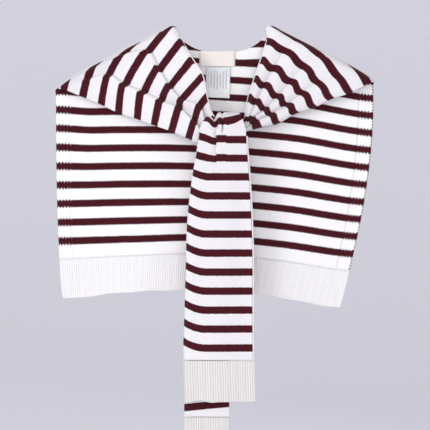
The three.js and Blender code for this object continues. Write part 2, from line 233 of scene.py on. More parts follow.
def knit_material(
    name, first, low, high, reverse=False, teeth=0.0, edge=None, plain=False, ribs=0.0, bump=0.35,
    white=(WHITE_YARN, WHITE_SHADE),
):
    """Knitting with stripes every STRIPE_PERIOD from `first`, between V = low and V = high."""
    material, tree, uv, across, along = cloth_material(name)

    # Height of the stitches
    leg = maths(tree, [("DIVIDE", WALE / 2), ("PINGPONG", 1.0)], across)
    if reverse:
        sway = maths(tree, [("MULTIPLY", 2 * np.pi / WALE), ("SINE",), ("MULTIPLY", 0.28)], across)
        turns = [("DIVIDE", COURSE), ("ADD", sway), ("MULTIPLY", 2 * np.pi), ("SINE",)]
        rows = maths(tree, turns, along)
        height = maths(tree, [("MULTIPLY", 0.5), ("ADD", 0.5)], rows)
    else:
        slope = maths(tree, [("MULTIPLY", 0.75)], leg)
        turns = [("DIVIDE", COURSE), ("ADD", slope), ("MULTIPLY", 2 * np.pi), ("SINE",)]
        rows = maths(tree, turns, along)
        groove = maths(tree, [("POWER", 3.0), ("MULTIPLY", -0.8), ("ADD", 1.0)], leg)
        height = maths(tree, [("MULTIPLY", 0.28), ("ADD", 0.72), ("MULTIPLY", groove)], rows)

    # Stripes: the distance from the nearest stripe's middle, with the small steps of its stitches
    wander = maths(tree, [("SUBTRACT", 0.5), ("MULTIPLY", 1.1)], noise(tree, uv, 0.22, 3.0))
    step = maths(tree, [("SUBTRACT", 0.5), ("MULTIPLY", 1.1 if reverse else 0.7)], leg)
    placed = maths(tree, [("ADD", wander), ("ADD", step), ("SUBTRACT", first - STRIPE_PERIOD / 2)], along)
    nearest = [("WRAP", STRIPE_PERIOD, 0.0), ("SUBTRACT", STRIPE_PERIOD / 2), ("ABSOLUTE",)]
    middle = maths(tree, nearest, placed)
    if teeth:
        tooth = maths(tree, [("DIVIDE", TOOTH / 2), ("PINGPONG", 1.0), ("SUBTRACT", 0.5)], across)
        middle = maths(tree, [("MULTIPLY", teeth), ("ADD", middle)], tooth)
    half = STRIPE_WIDTH / 2
    soft = 0.75 if reverse else 0.35
    stripe = softly(tree, middle, half - soft, half + soft, 1.0, 0.0)
    for limit, operation in ((low, "GREATER_THAN"), (high, "LESS_THAN")):
        inside = maths(tree, [(operation, limit)], along)
        stripe = maths(tree, [("MULTIPLY", inside)], stripe)
    if plain:
        stripe = maths(tree, [("MULTIPLY", 0.0)], stripe)
    if edge is not None:
        # The burgundy yarn is carried up the selvedge between stripes and shows as small floats
        run = [("DIVIDE", FLOAT_STEP), ("PINGPONG", 1.0), ("MULTIPLY", FLOAT_REACH)]
        float_run = maths(tree, run, along)
        reach = maths(tree, [("SUBTRACT", edge - FLOAT_STEP)], across)
        floats = maths(tree, [("GREATER_THAN", float_run)], reach)
        stripe = maths(tree, [("MAXIMUM", floats)], stripe)

    # Colour: each yarn is painted darker where its stitches lie low, a painted shade between them, and
    # its tone drifts at random over the cloth
    drift = maths(tree, [("MULTIPLY", 0.25)], noise(tree, uv, 0.9, 4.0))
    depth = maths(tree, [("MULTIPLY", 0.75), ("ADD", drift)], height)
    if ribs:
        # Painted shade: the furrows between two ribs are pulled towards the darker colour
        between = [("MULTIPLY", np.pi / RIB_PERIOD), ("SINE",), ("ABSOLUTE",), ("POWER", 3.0)]
        furrow_shade = maths(tree, between, across)
        depth = maths(tree, [("MULTIPLY", -ribs), ("ADD", depth)], furrow_shade)
    yarns = [
        mixed(tree, depth, linear(shade), linear(bright))
        for bright, shade in (white, (BURGUNDY_YARN, BURGUNDY_SHADE))
    ]
    lift = {"Strength": bump, "Distance": 0.0007, "Height": height}
    inputs = {
        "Base Color": mixed(tree, stripe, *yarns),
        "Roughness": 0.92,
        "Specular IOR Level": 0.25,
        "Sheen Weight": 0.06,
        "Sheen Roughness": 0.5,
        "Normal": add_node(tree, "ShaderNodeBump", inputs=lift).outputs[0],
    }
    return finished(material, tree, inputs)


def plain_knit_material(name, **look):
    """Knitting in white only."""
    return knit_material(name, 0.0, -1.0, 1.0, plain=True, **look)


print("one column of stitches every", WALE, "mm, one course every", COURSE, "mm")

# %% [markdown]
# ## The knits of the shawl
# The back counts its stripes from the hem, the panels and ties from the shoulder and the knot. The
# reverse side has its own material, because the back panel and the folds show it. The side bands
# are a tuck knit, whose stripes have small teeth. The ribs and the linking thread are white only.

# %% Make the knits
LOW_STRIPE = HEM_RIB + PLAIN_BAND + 4
EVERYWHERE = 10000.0
back_range = (LOW_STRIPE, LOW_STRIPE - 10, EVERYWHERE)
# The back's knits take the brighter copy of the white yarn, a painted light.
jersey_back_face = knit_material("jersey_back_right_side", *back_range, white=LIT_WHITE)
jersey_back_reverse = knit_material("jersey_back_reverse", *back_range, reverse=True, white=LIT_WHITE)
band_look = {"teeth": 3.2, "bump": 0.5, "white": LIT_WHITE}
band_knit = knit_material("tuck_knit_side_band", *back_range, **band_look)
band_knit_right = knit_material("tuck_knit_side_band_right", *back_range, edge=SIDE_BAND, **band_look)
panel_knit = knit_material("jersey_front_panel", 0.0, -EVERYWHERE, EVERYWHERE, bump=0.6)
panel_reverse = knit_material("jersey_front_reverse", 0.0, -EVERYWHERE, EVERYWHERE, reverse=True)
TIE_LAST = 11 * STRIPE_PERIOD  # the last stripe of a tie, from the first one below the knot
tie_knit = knit_material("jersey_tie", 0.0, -EVERYWHERE, TIE_LAST + 10, bump=0.55)
tie_reverse = knit_material("jersey_tie_reverse", 0.0, -EVERYWHERE, TIE_LAST + 10, reverse=True)
# The rib furrows of the hem and the cuffs are painted in shade, more deeply on the cuffs.
rib_knit = plain_knit_material("rib_knit_hem", ribs=0.25, bump=0.5, white=HEM_WHITE)
cuff_knit = plain_knit_material("rib_knit_cuff", ribs=0.45, bump=0.5, white=CUFF_WHITE)
seam_thread = plain_knit_material("linking_thread", bump=0.6)
selvedge_knit = plain_knit_material("selvedge_white", bump=0.5)
print(len(bpy.data.materials), "knits made")

# %% [markdown]
# ## Cloth from a surface
# A sheet of knit is a grid of points on a surface, with its UV map in millimetres of knitting. The
# grid is fine enough for folds and ribs to be real shape. Solidify then gives it the knit's own
# thickness, and puts the reverse side's material on the side that faces away.

# %% The sheet builder
def cloth_object(name, spots, quads, cloth, materials):
    """A selected mesh from points in mm, with a UV in mm of knitting for each point."""
    mesh = bpy.data.meshes.new(name)
    mesh.from_pydata((spots * MM).reshape(-1, 3).tolist(), [], quads.tolist())
    layer = mesh.uv_layers.new(name="knit")
    layer.data.foreach_set("uv", cloth.reshape(-1, 2)[quads.reshape(-1)].reshape(-1))
    for material in materials:
        mesh.materials.append(material)
    piece = bpy.data.objects.new(name, mesh)
    bpy.context.collection.objects.link(piece)
    bpy.ops.object.select_all(action="DESELECT")
    piece.select_set(True)
    bpy.context.view_layer.objects.active = piece
    return piece


def knit_sheet(name, place, knit, us, vs, materials, thickness=KNIT, turn_over=False):
    """Lay a grid over place(u, v) in mm, map knit(u, v) in mm, and give it its thickness."""
    grid_u, grid_v = np.meshgrid(us, vs, indexing="ij")
    spots = np.stack(place(grid_u, grid_v), -1)
    cloth = np.stack(np.broadcast_arrays(*knit(grid_u, grid_v)), -1)
    wide, tall = grid_u.shape
    index = np.arange(wide * tall).reshape(wide, tall)
    corners = [index[:-1, :-1], index[1:, :-1], index[1:, 1:], index[:-1, 1:]]
    quads = np.stack(corners, -1).reshape(-1, 4)
    if turn_over:
        quads = quads[:, ::-1]
    piece = cloth_object(name, spots, quads, cloth, materials)
    piece.data.shade_smooth()
    solid = piece.modifiers.new("thickness", "SOLIDIFY")
    solid.thickness = thickness * MM
    solid.offset = 0
    solid.use_even_offset = False
    if len(materials) > 1:
        solid.material_offset = 1
    bpy.ops.object.modifier_apply(modifier=solid.name)
    print(name, len(piece.data.polygons), "faces")
    return piece


def joined(*runs):
    """One list of steps from runs of (low, high, count), each starting where the last one ends."""
    steps = [np.linspace(*run)[:-1] for run in runs[:-1]]
    return np.concatenate(steps + [np.linspace(*runs[-1])])


def stands_for(piece, body, slot, *nodes):
    """Hide the frame's nodes that a piece replaces and attach the piece to the body that carries it; slot
    is not used.
    """
    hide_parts(*nodes)
    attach(piece, body)


def bends_for(piece, tail, bend, slot, *nodes):
    """Hide the frame's nodes that a piece of cloth replaces and bake its place into its mesh; tail, bend
    and slot are not used.
    """
    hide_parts(*nodes)
    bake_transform(piece)


print("a sheet is", KNIT, "mm thick where nothing else is said")

# %% [markdown]
# ## Back panel
# The back panel hangs level at its left and swings down and inwards at its right. Its surface is
# worked out from the hem upwards, in millimetres of knitting, as it was knitted. The front view
# looks at its reverse side, and its right side faces back. Its side bands are a tighter knit, in
# which the stripes' edges turn into small teeth.

# %% The back panel's surface
LEFT_EDGE, RIGHT_EDGE = -(NECK_HALF + RUN_LEFT) - 1, NECK_HALF + RUN_RIGHT - 3
TIP_COURSE = BACK_LENGTH - 66
HEM_SAG = [12, 2, 0, 8, 24]
LOW_REACH = [1.05, 0.95, 0.95, 0.94, 0.97]
HIGH_REACH = [0.99, 0.98, 0.94, 0.94, 0.92]
BACK_WIDTH = RIGHT_EDGE - LEFT_EDGE


def back_x(share, course):
    """The sides swing in towards the hem, the right one more."""
    fall = np.clip(1 - course / TIP_COURSE, 0, 1)
    left, right = LEFT_EDGE - 1.8 + 8 * fall**3, RIGHT_EDGE + 0.8 - 46 * fall**1.8
    return left + (right - left) * share


def back_z(share, course):
    """Height of a course above the sagging hem."""
    low = np.minimum(course, LOW_STRIPE)
    drop = BACK_LENGTH + through(HEM_SAG, share)
    return -drop + low * through(LOW_REACH, share) + (course - low) * through(HIGH_REACH, share)


def back_place(share, course):
    """Where a stitch of the back panel hangs."""
    x, z = back_x(share, course), back_z(share, course)
    below = crest_z(x) - z
    hang = np.clip(below / BACK_LENGTH, 0, 1)
    wave = 4 * hang * np.sin(2 * np.pi * (2.2 * share + 0.1))
    # Two shallow dimples above the left of the hem, and a soft pull from each shoulder
    for at, level, depth in ((0.07, 62, 1.6), (0.155, 60, 1.4), (0.9, 120, -1.2)):
        wave = wave + depth * np.exp(-(((share - at) / 0.03) ** 2) - ((course - level) / 26) ** 2)
    y = BACK_CREST_Y + (WALL_DEPTH - BACK_CREST_Y) * turned_down(below) + wave
    return x, y, z


def top_course(share):
    """The course at which the panel reaches the shoulder line or the neck's edge."""
    course = np.full_like(share, BACK_LENGTH)
    for _ in range(12):
        x = back_x(share, course)
        top = np.where(np.abs(x) > NECK_HALF, crest_z(x), neck_z(x))
        course = course + (top - back_z(share, course)) / through(HIGH_REACH, share)
    return course


def back_knit(share, course):
    """UV of the back panel: V is the course, pulled a little near the left edge and the neck."""
    x = back_x(share, course)
    near_left = (smooth(share, 0, 0.12) - 0.5) * (1 - smooth(share, 0.2, 0.45))
    pull = 3.6 * near_left * smooth(course, 120, 260)
    near_neck = smooth(course, 330, 348)
    pull = pull + near_neck * (8.0 * (1 - smooth(x, -30, -8)) - 4.0 * smooth(x, 20, 55))
    return share * BACK_WIDTH, course + pull


def back_piece(name, node, low, high, materials, count, below_neck=0.0):
    """A part of the back panel between two shares of its width, from the hem rib to its top."""

    def course(share, rise):
        inside = np.abs(back_x(share, top_course(share))) < NECK_HALF
        top = top_course(share) - np.where(inside, below_neck, 0)
        return HEM_RIB + 0.02 + (top - HEM_RIB - 0.02) * rise

    def place(share, rise):
        return back_place(share, course(share, rise))

    def knit(share, rise):
        across, along = back_knit(share, course(share, rise))
        return across - low * BACK_WIDTH, along

    rises = 1 - (1 - np.linspace(0, 1, 110)) ** 1.6  # they crowd towards the shoulder
    piece = knit_sheet(name, place, knit, np.linspace(low, high, count), rises, materials)
    stands_for(piece, "shawl", "striped_jersey", node)
    return piece


BAND = SIDE_BAND / BACK_WIDTH
GAP = 0.05 / BACK_WIDTH  # between the panel and its bands
NECK_EDGE = 1.2  # half of the neck edge's height
back_faces = [jersey_back_reverse, jersey_back_face]
back_panel = back_piece(
    "back_panel_knit", "back_panel", BAND + GAP, 1 - BAND - GAP, back_faces, 150, NECK_EDGE
)
band_left = back_piece("side_band_left_knit", "back_side_band_left", 0, BAND, [band_knit], 24)
band_right = back_piece("side_band_right_knit", "back_side_band_right", 1 - BAND, 1, [band_knit_right], 24)

# %% [markdown]
# ## Ribs
# The hem and the ends of the ties are knitted in rib: columns of face stitches stand proud of the
# columns between them. A rib is deep enough to catch the light from the side, so it is real shape
# and not only bump: the sheet's surface rises and falls once in each rib.

# %% Hem rib
def ribbed(distance, depth=0.8):
    """Relief of a rib, in mm, a given distance across it."""
    return depth * (np.abs(np.cos(np.pi * distance / RIB_PERIOD)) ** 0.7 - 0.5)


def rib_columns(width):
    """Four columns of points for each rib."""
    return np.linspace(0, 1, int(width / (RIB_PERIOD / 4)) + 1)


def hem_place(share, course):
    """The panel's surface, with ribs and a curled lower edge."""
    x, y, z = back_place(share, course)
    edge = np.minimum(course, HEM_RIB - course)
    curl = 1.6 * np.exp(-course / 3.0)
    y = y - ribbed(share * BACK_WIDTH, 0.65) * (0.35 + 0.65 * smooth(edge, 0, 4)) - curl
    corner = 3.0 * np.exp(-share / 0.008) * np.exp(-course / 5)  # the left corner is rounded off
    reach = 2.8 * (1 - course / HEM_RIB)
    ripple = 0.5 * np.sin(share * BACK_WIDTH * 2 * np.pi / 61)
    return x + corner, y, z - reach + 0.5 * corner + ripple * np.exp(-course / 9)


hem = knit_sheet(
    "hem_rib_knit",
    hem_place,
    lambda share, course: (share * BACK_WIDTH, course),
    rib_columns(BACK_WIDTH),
    np.concatenate([np.linspace(0, 5, 6), np.linspace(7, HEM_RIB, 16)]),
    [rib_knit],
    thickness=2.4,
)
stands_for(hem, "shawl", "white_rib", "back_hem_rib")

# %% [markdown]
# ## Beads of knitting
# The neck edges, the selvedge of the front tie and the shoulder seams are narrow beads: a linking
# stitch or a folded edge. Each is an oval tube along a line, pinched once for each stitch, and
# closed at its two ends.

# %% The bead builder
def bead(name, line, tall, deep, material, length, stitch=2.6, sides=10):
    """An oval tube along line(share), in mm, with half sizes tall and deep across and in depth."""
    steps = max(int(length / (stitch / 4)), 12)
    share = np.linspace(0, 1, steps + 1)
    middle = np.stack(line(share), -1)
    along = np.gradient(middle, axis=0)
    along /= np.linalg.norm(along, axis=1)[:, None]
    depth_way = np.array([0.0, 1.0, 0.0]) - along * along[:, 1:2]
    depth_way /= np.linalg.norm(depth_way, axis=1)[:, None]
    across_way = np.cross(along, depth_way)
    gone = share * length
    end = np.sqrt(1 - np.clip(1 - np.minimum(gone, length - gone) / tall, 0, 1) ** 2)
    pinch = end * (0.84 + 0.16 * np.abs(np.sin(np.pi * gone / stitch)))
    angle = np.linspace(0, 2 * np.pi, sides, endpoint=False)
    wide = (np.cos(angle)[None, :, None] * across_way[:, None, :]) * (tall * pinch)[:, None, None]
    thick = (np.sin(angle)[None, :, None] * depth_way[:, None, :]) * (deep * pinch)[:, None, None]
    spots = middle[:, None, :] + wide + thick
    index = np.arange(spots.shape[0] * sides).reshape(-1, sides)
    nearby = np.roll(index, -1, axis=1)
    quads = np.stack([index[:-1], index[1:], nearby[1:], nearby[:-1]], -1).reshape(-1, 4)
    cloth = np.stack(np.broadcast_arrays(np.arange(sides)[None, :] * 1.3, gone[:, None]), -1)
    piece = cloth_object(name, spots, quads, cloth, [material])
    bpy.ops.object.mode_set(mode="EDIT")
    bpy.ops.mesh.select_all(action="SELECT")
    bpy.ops.mesh.remove_doubles(threshold=0.00001)
    bpy.ops.mesh.normals_make_consistent(inside=False)
    bpy.ops.object.mode_set(mode="OBJECT")
    piece.data.shade_smooth()
    print(name, len(piece.data.polygons), "faces")
    return piece


# %% [markdown]
# ### Shoulder seams
# Front and back are linked stitch to stitch, which leaves a thin white ridge along the crest. It is
# a bead with a pinch for every link.

# %% Shoulder seams
def seam_line(sign, run):
    def line(share):
        x = sign * (NECK_HALF + run * (0.01 + 0.98 * share))
        return x, np.full_like(x, 0.25), crest_z(x) + 0.3
    return line


for side, sign, run in (("left", -1, RUN_LEFT), ("right", 1, RUN_RIGHT)):
    line, length = seam_line(sign, run), run * 1.12  # the slope makes the seam longer than its run
    seam = bead(f"shoulder_seam_{side}_links", line, 1.5, 1.3, seam_thread, length, stitch=3.0)
    stands_for(seam, "shawl", "linking_thread", f"shoulder_seam_{side}")

# %% [markdown]
# ### Back neck edge
# The last course of the neck is cast off and turns over. A narrow sheet is rolled round the panel's
# top edge, with the panel's own map, so that a stripe runs on over it.

# %% Back neck edge
NECK_SHARES = (
    (-NECK_HALF - LEFT_EDGE) / BACK_WIDTH + 0.006,
    (NECK_HALF - LEFT_EDGE) / BACK_WIDTH - 0.006,
)


def neck_edge_place(share, turn):
    """The panel's top edge, rolled about a line just below it."""
    level = top_course(share) - NECK_EDGE
    x, _, z = back_place(share, level + np.sin(turn))
    return x, back_place(share, level)[1] - 0.9 * np.cos(turn), z


neck_edge = knit_sheet(
    "back_neck_edge_knit",
    neck_edge_place,
    lambda share, turn: back_knit(share, top_course(share) - NECK_EDGE + 1.2 * np.sin(turn)),
    np.linspace(*NECK_SHARES, 90),
    np.linspace(-1.9, 1.9, 9),
    [jersey_back_face],
    thickness=1.0,
)
stands_for(neck_edge, "shawl", "striped_jersey", "back_neck_edge")

# %% [markdown]
# ## Front panels
# Each front panel is one long strip. It comes from the shoulder tip, lies over the shoulder, and is
# drawn together in pleats as it nears the knot. The stripes cross it, so they show how it is
# pulled. A lattice holds where every burgundy stripe crosses each fold of the panel; the surface is
# a soft curve through it, and the pleats stand out from that surface more and more towards the
# knot. The strip then goes on into the knot, under the turn of the front tie.

# %% Lattices of the front panels
# x and z in mm on each fold, from the shoulder tip into the knot
LEFT_LATTICE = [
    [(-224.7, -86.3), (-224, -84.9), (-223.3, -83.6), (-221.9, -82.2)],
    [(-216.5, -87.7), (-214.4, -80.8), (-212.4, -75.4), (-208.2, -68.5)],
    [(-191.8, -98), (-185, -74), (-178.1, -58.9), (-161.7, -43.8)],
    [(-167.1, -108.2), (-156.2, -67.1), (-138.4, -41.1), (-115.8, -24)],
    [(-143.9, -119.2), (-134, -80), (-102.1, -34.3), (-69.2, 0)],
    [(-117.8, -128.1), (-108.2, -91.1), (-86.3, -58.9), (-54.1, -23.3)],
    [(-93.8, -137), (-83.6, -103.4), (-71.2, -83.6), (-39.7, -48)],
    [(-69.2, -145.9), (-58.9, -113.7), (-54.8, -102.1), (-26, -71.2)],
    [(-46.6, -155.5), (-38.4, -132.2), (-31, -111), (-20.6, -98.6)],
    [(-32.9, -161.7), (-28.1, -143.9), (-23.3, -130.2), (-15.1, -119.2)],
    [(-14, -161), (-12.5, -151), (-9.5, -141), (-7, -131.5)],
    [(3, -158), (3.2, -151.5), (3.5, -144), (4, -137)],
    [(20, -158), (20, -151.6), (20, -145), (20, -138.5)],
]
LEFT_KNIT = [-11, 0, 26, 52, 78, 104, 130, 156, 182, 197, 215, 232, 249]
LEFT_PLEAT = [0, 1.2, 2.4, 3.6, 4.8, 6, 7.4, 9, 10, 9.6, 7.6, 6.2, 5.6]
RIGHT_LATTICE = [
    [(208.2, -74), (208.9, -74.4), (209.6, -74.8), (210.3, -75.4), (211, -76)],
    [(168.5, -48), (175.4, -53.4), (182.2, -58.9), (190.4, -66), (198.7, -80.8)],
    [(69.9, 0), (109.6, -23.3), (137, -42.5), (158.9, -70), (175.4, -92.5)],
    [(61.7, -21.9), (86.3, -34.3), (112.3, -56.2), (131.5, -78.1), (150, -100.7)],
    [(52.7, -48.6), (71.2, -58.9), (93.2, -76.7), (109.6, -92.5), (126.7, -112.3)],
    [(43.8, -74.7), (57.5, -82.2), (75.4, -97.3), (87.7, -108.9), (102.1, -119.9)],
    [(35.6, -100.7), (46.6, -104.8), (57.5, -115.1), (65.8, -121.9), (76, -134.3)],
    [(30, -131), (35.2, -128.8), (40.5, -128), (45, -131.8), (50.5, -140.2)],
    [(22, -135), (23.6, -138), (24.6, -141), (25.4, -144), (26, -147.4)],
    [(5, -137.5), (5, -141.5), (5, -145.5), (5, -149.5), (5, -153.5)],
    [(-8, -142), (-10.2, -146.5), (-12.5, -151), (-14.8, -155.5), (-17, -160)],
    [(-8, -159), (-14.2, -159.5), (-20.5, -160.5), (-26.8, -161.5), (-32.5, -162)],
    [(-8, -168.2), (-14.2, -168.2), (-20.5, -168.2), (-26.8, -168.2), (-33, -168.2)],
]
RIGHT_KNIT = [-12, 0, 26, 52, 78, 104, 130, 156, 172, 189, 206, 222, 230]
RIGHT_PLEAT = [0, 1.2, 2.8, 4.2, 5.6, 7.0, 8.4, 9.0, 8.0, 6.8, 6.2, 6.2, 6.0]
print("stations of the panels:", len(LEFT_LATTICE), "and", len(RIGHT_LATTICE))

# %% [markdown]
# ### The panels' surface
# Each panel turns down over the hanger and comes forward to its place in the knot. The left one
# lies in flat pleats that turn back under their upper lines, the right one in round folds. The
# lattice gives the line of each fold, and a saw or a sine across them gives the pleats.

# %% The panels' surface
RISING, UNDER = 0.9, 0.1  # the shares of a flat pleat that rise and that turn back under it
CREST_GAP = 1.3  # a panel starts this far below the shoulder line
PANEL_WIDTH = 108  # mm, as knitted


def panel_surface(lattice, pleat, tip_x, end_x, neck_share, knot_y, folded):
    """Turns (fold, station) into a place; fold counts folds from the lattice's first column."""
    lattice = np.array(lattice)
    upper = -1 if folded else 0

    def place(fold, station):
        share = station / (len(lattice) - 1)
        columns = through(lattice, share.reshape(-1)).reshape(*share.shape, -1, 2)
        spans = columns.shape[-2] - 1
        first = np.clip(fold.astype(int), 0, spans - 1)
        part = (fold - first)[..., None]

        def column(i):
            return np.take_along_axis(columns, np.clip(i, 0, spans)[..., None, None], -2)[..., 0, :]

        straight = column(first) * (1 - part) + column(first + 1) * part
        bent = spline(column(first - 1), column(first), column(first + 1), column(first + 2), part)
        flat = straight * 0.35 + bent * 0.65
        x, z = flat[..., 0], flat[..., 1]
        z = np.minimum(z, crest_z(x) - CREST_GAP)
        t = part[..., 0]
        deep = through(pleat, share)
        if folded:
            # Each fold rises to its upper line and turns back under it
            roll = np.sqrt(1 - np.clip((t - RISING) / UNDER, 0, 1) ** 2)
            rise = (1 - (1 - t) ** 1.4) * np.where(first == spans - 1, 0.6, roll)
        else:
            rise = np.sin(np.pi * t) ** 0.75
        edge = columns[..., upper, :]
        below_edge = np.hypot(x - edge[..., 0], z - edge[..., 1])
        at_shoulder = smooth(np.abs(x), NECK_HALF - 4, NECK_HALF + 10)
        below = below_edge + (crest_z(x) - CREST_GAP - z - below_edge) * at_shoulder
        lower_x = columns[..., 0 if folded else -1, 0]
        along = np.clip((lower_x - tip_x) / (end_x - tip_x), 0, 1)
        on_hanger = 1 - smooth(along, neck_share, neck_share + 0.3)
        rest = 1 - on_hanger * (1 - turned_down(below))
        depth = WALL_DEPTH + (-knot_y - WALL_DEPTH) * smooth(along, 0.35, 1)
        y = FRONT_CREST_Y + (-depth - FRONT_CREST_Y) * rest
        free = 0.25 + 0.75 * smooth(below, 0, 9)
        return x, y - deep * (rise - 0.45) * free, z

    return place


def panel_knit_map(knit_at, spans, jog, folded):
    """UV of a panel: U across it, V along it, with a small jog of the stripes at each fold."""

    def mapped(fold, station):
        t = fold - np.clip(fold.astype(int), 0, spans - 1)
        along = np.interp(station, np.arange(len(knit_at)), knit_at)
        grown = smooth(along, 0, 90) * (1 - 0.8 * smooth(along, 110, 150)) * jog
        if folded:
            saw = np.where(t < RISING, t / RISING * 2 - 1, 1 - (t - RISING) / UNDER * 2)
        else:
            saw = np.sin(2 * np.pi * t)
        return fold / spans * PANEL_WIDTH, along + grown * saw

    return mapped


def fold_steps(spans, folded):
    """Steps across the folds, finer where a flat pleat turns under."""
    each = np.linspace(0, 0.94, 17)
    if folded:
        each = np.concatenate([np.linspace(0, 0.86, 15), np.linspace(RISING, 0.995, 7)])
    return np.concatenate([each + i for i in range(spans)] + [[float(spans)]])


def front_panel(side, place, lattice, knit_at, spans, jog, folded):
    """One front panel, from the shoulder tip into the knot."""
    panel = knit_sheet(
        f"{side}_front_panel_knit",
        place,
        panel_knit_map(knit_at, spans, jog, folded),
        fold_steps(spans, folded),
        np.linspace(0, len(lattice) - 1, 190),
        [panel_knit, panel_reverse],
        turn_over=True,
    )
    stands_for(panel, "shawl", "striped_jersey", f"{side}_front_panel", f"{side}_front_crossing")
    return panel


left_place = panel_surface(LEFT_LATTICE, LEFT_PLEAT, -227, -35.5, 0.43, LEFT_KNOT_Y, True)
left_panel = front_panel("left", left_place, LEFT_LATTICE, LEFT_KNIT, 3, 2.0, True)
right_place = panel_surface(RIGHT_LATTICE, RIGHT_PLEAT, 212, 34.5, 0.2, RIGHT_KNOT_Y, False)
right_panel = front_panel("right", right_place, RIGHT_LATTICE, RIGHT_KNIT, 4, 2.2, False)

# %% [markdown]
# ### Front neck edges
# The inner edge of each front panel is a plain white selvedge, one stitch wide: a bead along the
# panel's surface, from the neck point to the knot.

# %% Front neck edges
def panel_edge(place, fold, first, last):
    """A line along one fold of a panel, between two stations of its lattice."""
    def line(share):
        station = first + (last - first) * share
        x, y, z = place(np.full_like(share, fold), station)
        return x, y, z + 0.9
    return line


EDGE_LENGTH = 140  # mm, about; the bead counts its stitches by it
left_line, right_line = panel_edge(left_place, 3.0, 4.25, 9.6), panel_edge(right_place, 0.0, 2.15, 8.2)
left_edge = bead("left_neck_edge_links", left_line, 1.0, 1.3, selvedge_knit, EDGE_LENGTH)
right_edge = bead("right_neck_edge_links", right_line, 1.0, 1.3, selvedge_knit, EDGE_LENGTH)
for edge, side in ((left_edge, "left"), (right_edge, "right")):
    stands_for(edge, "shawl", "white_selvedge", f"{side}_front_neck_edge")

# %% [markdown]
# ## The front tie and its turn over the knot
# The left panel goes on round the right one, comes up through the neck, turns down over the knot
# and falls as the front tie. The turn and the tie are one sheet. Its top is pinched into tucks, and
# its left edge rolls back a little, as the edge of plain jersey does.

# %% Shape of the front tie
TURN_RADIUS = (FRONT_TIE_Y - BACK_PASS_Y) / -2
TURN_Y, TURN_Z = (FRONT_TIE_Y + BACK_PASS_Y) / 2, -120.5 - TURN_RADIUS
BACK_LIMB = 8.0
TIE_TOP, TIE_FALL = -150, 360
TIE_LEFT = [-31, -40.3, -46.8, -48.7, -50.5, -52.3, -50.6]  # x of its edges, every 60 mm down
TIE_RIGHT = [34, 38.6, 42, 43.4, 43.4, 43.8, 45.2]
TURN_LEFT, TURN_RIGHT = -17.0, 23.0  # its edges behind the knot
TIE_WIDTH = 112  # mm, as knitted
FIRST_STRIPE = 156.9  # mm below the neck points
STRETCH = 1.0063  # mm of knitting for each mm that hangs
ARC = np.pi * TURN_RADIUS
FRONT_LENGTH = 457.6 + TURN_Z + BACK_LIMB + ARC


def tie_edges(z):
    """x of the tie's left and right edge at a height."""
    share = (TIE_TOP - z) / TIE_FALL
    return through(TIE_LEFT, share), through(TIE_RIGHT, share)


def tie_sheet_place(across, gone):
    """across runs 0 to 1 from left to right; gone is mm along the cloth from behind the knot."""
    round_share = np.clip((gone - BACK_LIMB) / ARC, 0, 1)
    past = np.maximum(gone - BACK_LIMB - ARC, 0)
    start = np.minimum(gone - BACK_LIMB, 0)
    y = TURN_Y + TURN_RADIUS * np.cos(np.pi * round_share)
    z = TURN_Z + TURN_RADIUS * np.sin(np.pi * round_share) - past + start
    fall = np.maximum(FRONT_HINGE_Z - z, 0)
    y = y + 6 * smooth(fall, 60, 300) * (past > 0)
    left, right = tie_edges(np.minimum(z, TIE_TOP))
    front = smooth(gone, BACK_LIMB + ARC * 0.42, BACK_LIMB + ARC + 14)
    left = TURN_LEFT + (left - TURN_LEFT) * front
    right = TURN_RIGHT + (right - TURN_RIGHT) * front
    x = left + (right - left) * across
    # Tucks: the cloth is pinched in at two slits, and its top sinks between the pleats
    top = hump(gone - BACK_LIMB, ARC * 0.5, 19)
    sink = 11 * hump(x, -11, 4.0) + 2.6 * hump(x, 0.5, 2.4)
    sink = sink + 4.5 * smooth(-x, 12, 17)
    z = z - sink * top
    low = -z
    left_slit = smooth(low, 124, 130) * (1 - smooth(low, 136, 145))
    right_slit = smooth(low, 125, 132) * (1 - smooth(low, 142, 151))
    crease = smooth(low, 122, 134) * (1 - smooth(low, 150, 212))
    y = y + 6.5 * left_slit * hump(x, -6.0, 1.8, 4)
    y = y + 7.5 * right_slit * hump(x, 0.7, 2.0, 4)
    y = y + 3.4 * crease * hump(x, -8.2, 2.4)
    y = y - 1.4 * crease * hump(x, -18, 7.0)
    y = y - 1.2 * crease * hump(x, 12, 9.0)
    # Hanging: the left edge rolls back, and long shallow folds run down
    hang = smooth(fall, 10, 120)
    rolled = 6.0 * np.clip((0.1 - across) / 0.1, 0, 1) ** 2
    y = y + hang * (rolled + 1.3 * np.sin(2 * np.pi * (across * 1.3 + 0.15)))
    bulge = smooth(fall, 20, 90) * (1 - smooth(fall, 200, 300)) * 1.2
    y = y - bulge * hump(across, 0.62, 0.14)
    return x, y, z


def tie_knit_map(across, gone):
    """V is 0 at the first stripe below the knot."""
    down = gone - BACK_LIMB - ARC  # mm below the end of the turn
    x, y, z = tie_sheet_place(across, gone)
    along = (down - TURN_Z - FIRST_STRIPE) * STRETCH
    fall = np.maximum(TIE_TOP - z, 0)
    curl = 4.0 + 5.0 * smooth(fall, 20, 90)
    along = along + curl * np.clip((0.3 - across) / 0.3, 0, 1) ** 2 * smooth(-z, 128, 150)
    bow = smooth(z, -150, -136)
    along = along + bow * (8.5 * np.clip((x - 5) / 25, 0, 1) ** 1.6 - 1.6 + 5.0 * smooth(-x, 12, 20))
    step = 3.6 * smooth(-z, 128, 142) * (1 - smooth(-z, 158, 205))
    tuck = smooth(x, -24, -9.5) * (1 - smooth(x, -8.2, -7.0)) + 0.35 * smooth(x, 5.2, 6.4)
    return across * TIE_WIDTH, along - step * tuck


print("the front tie is", round(FRONT_LENGTH, 1), "mm long with its turn")
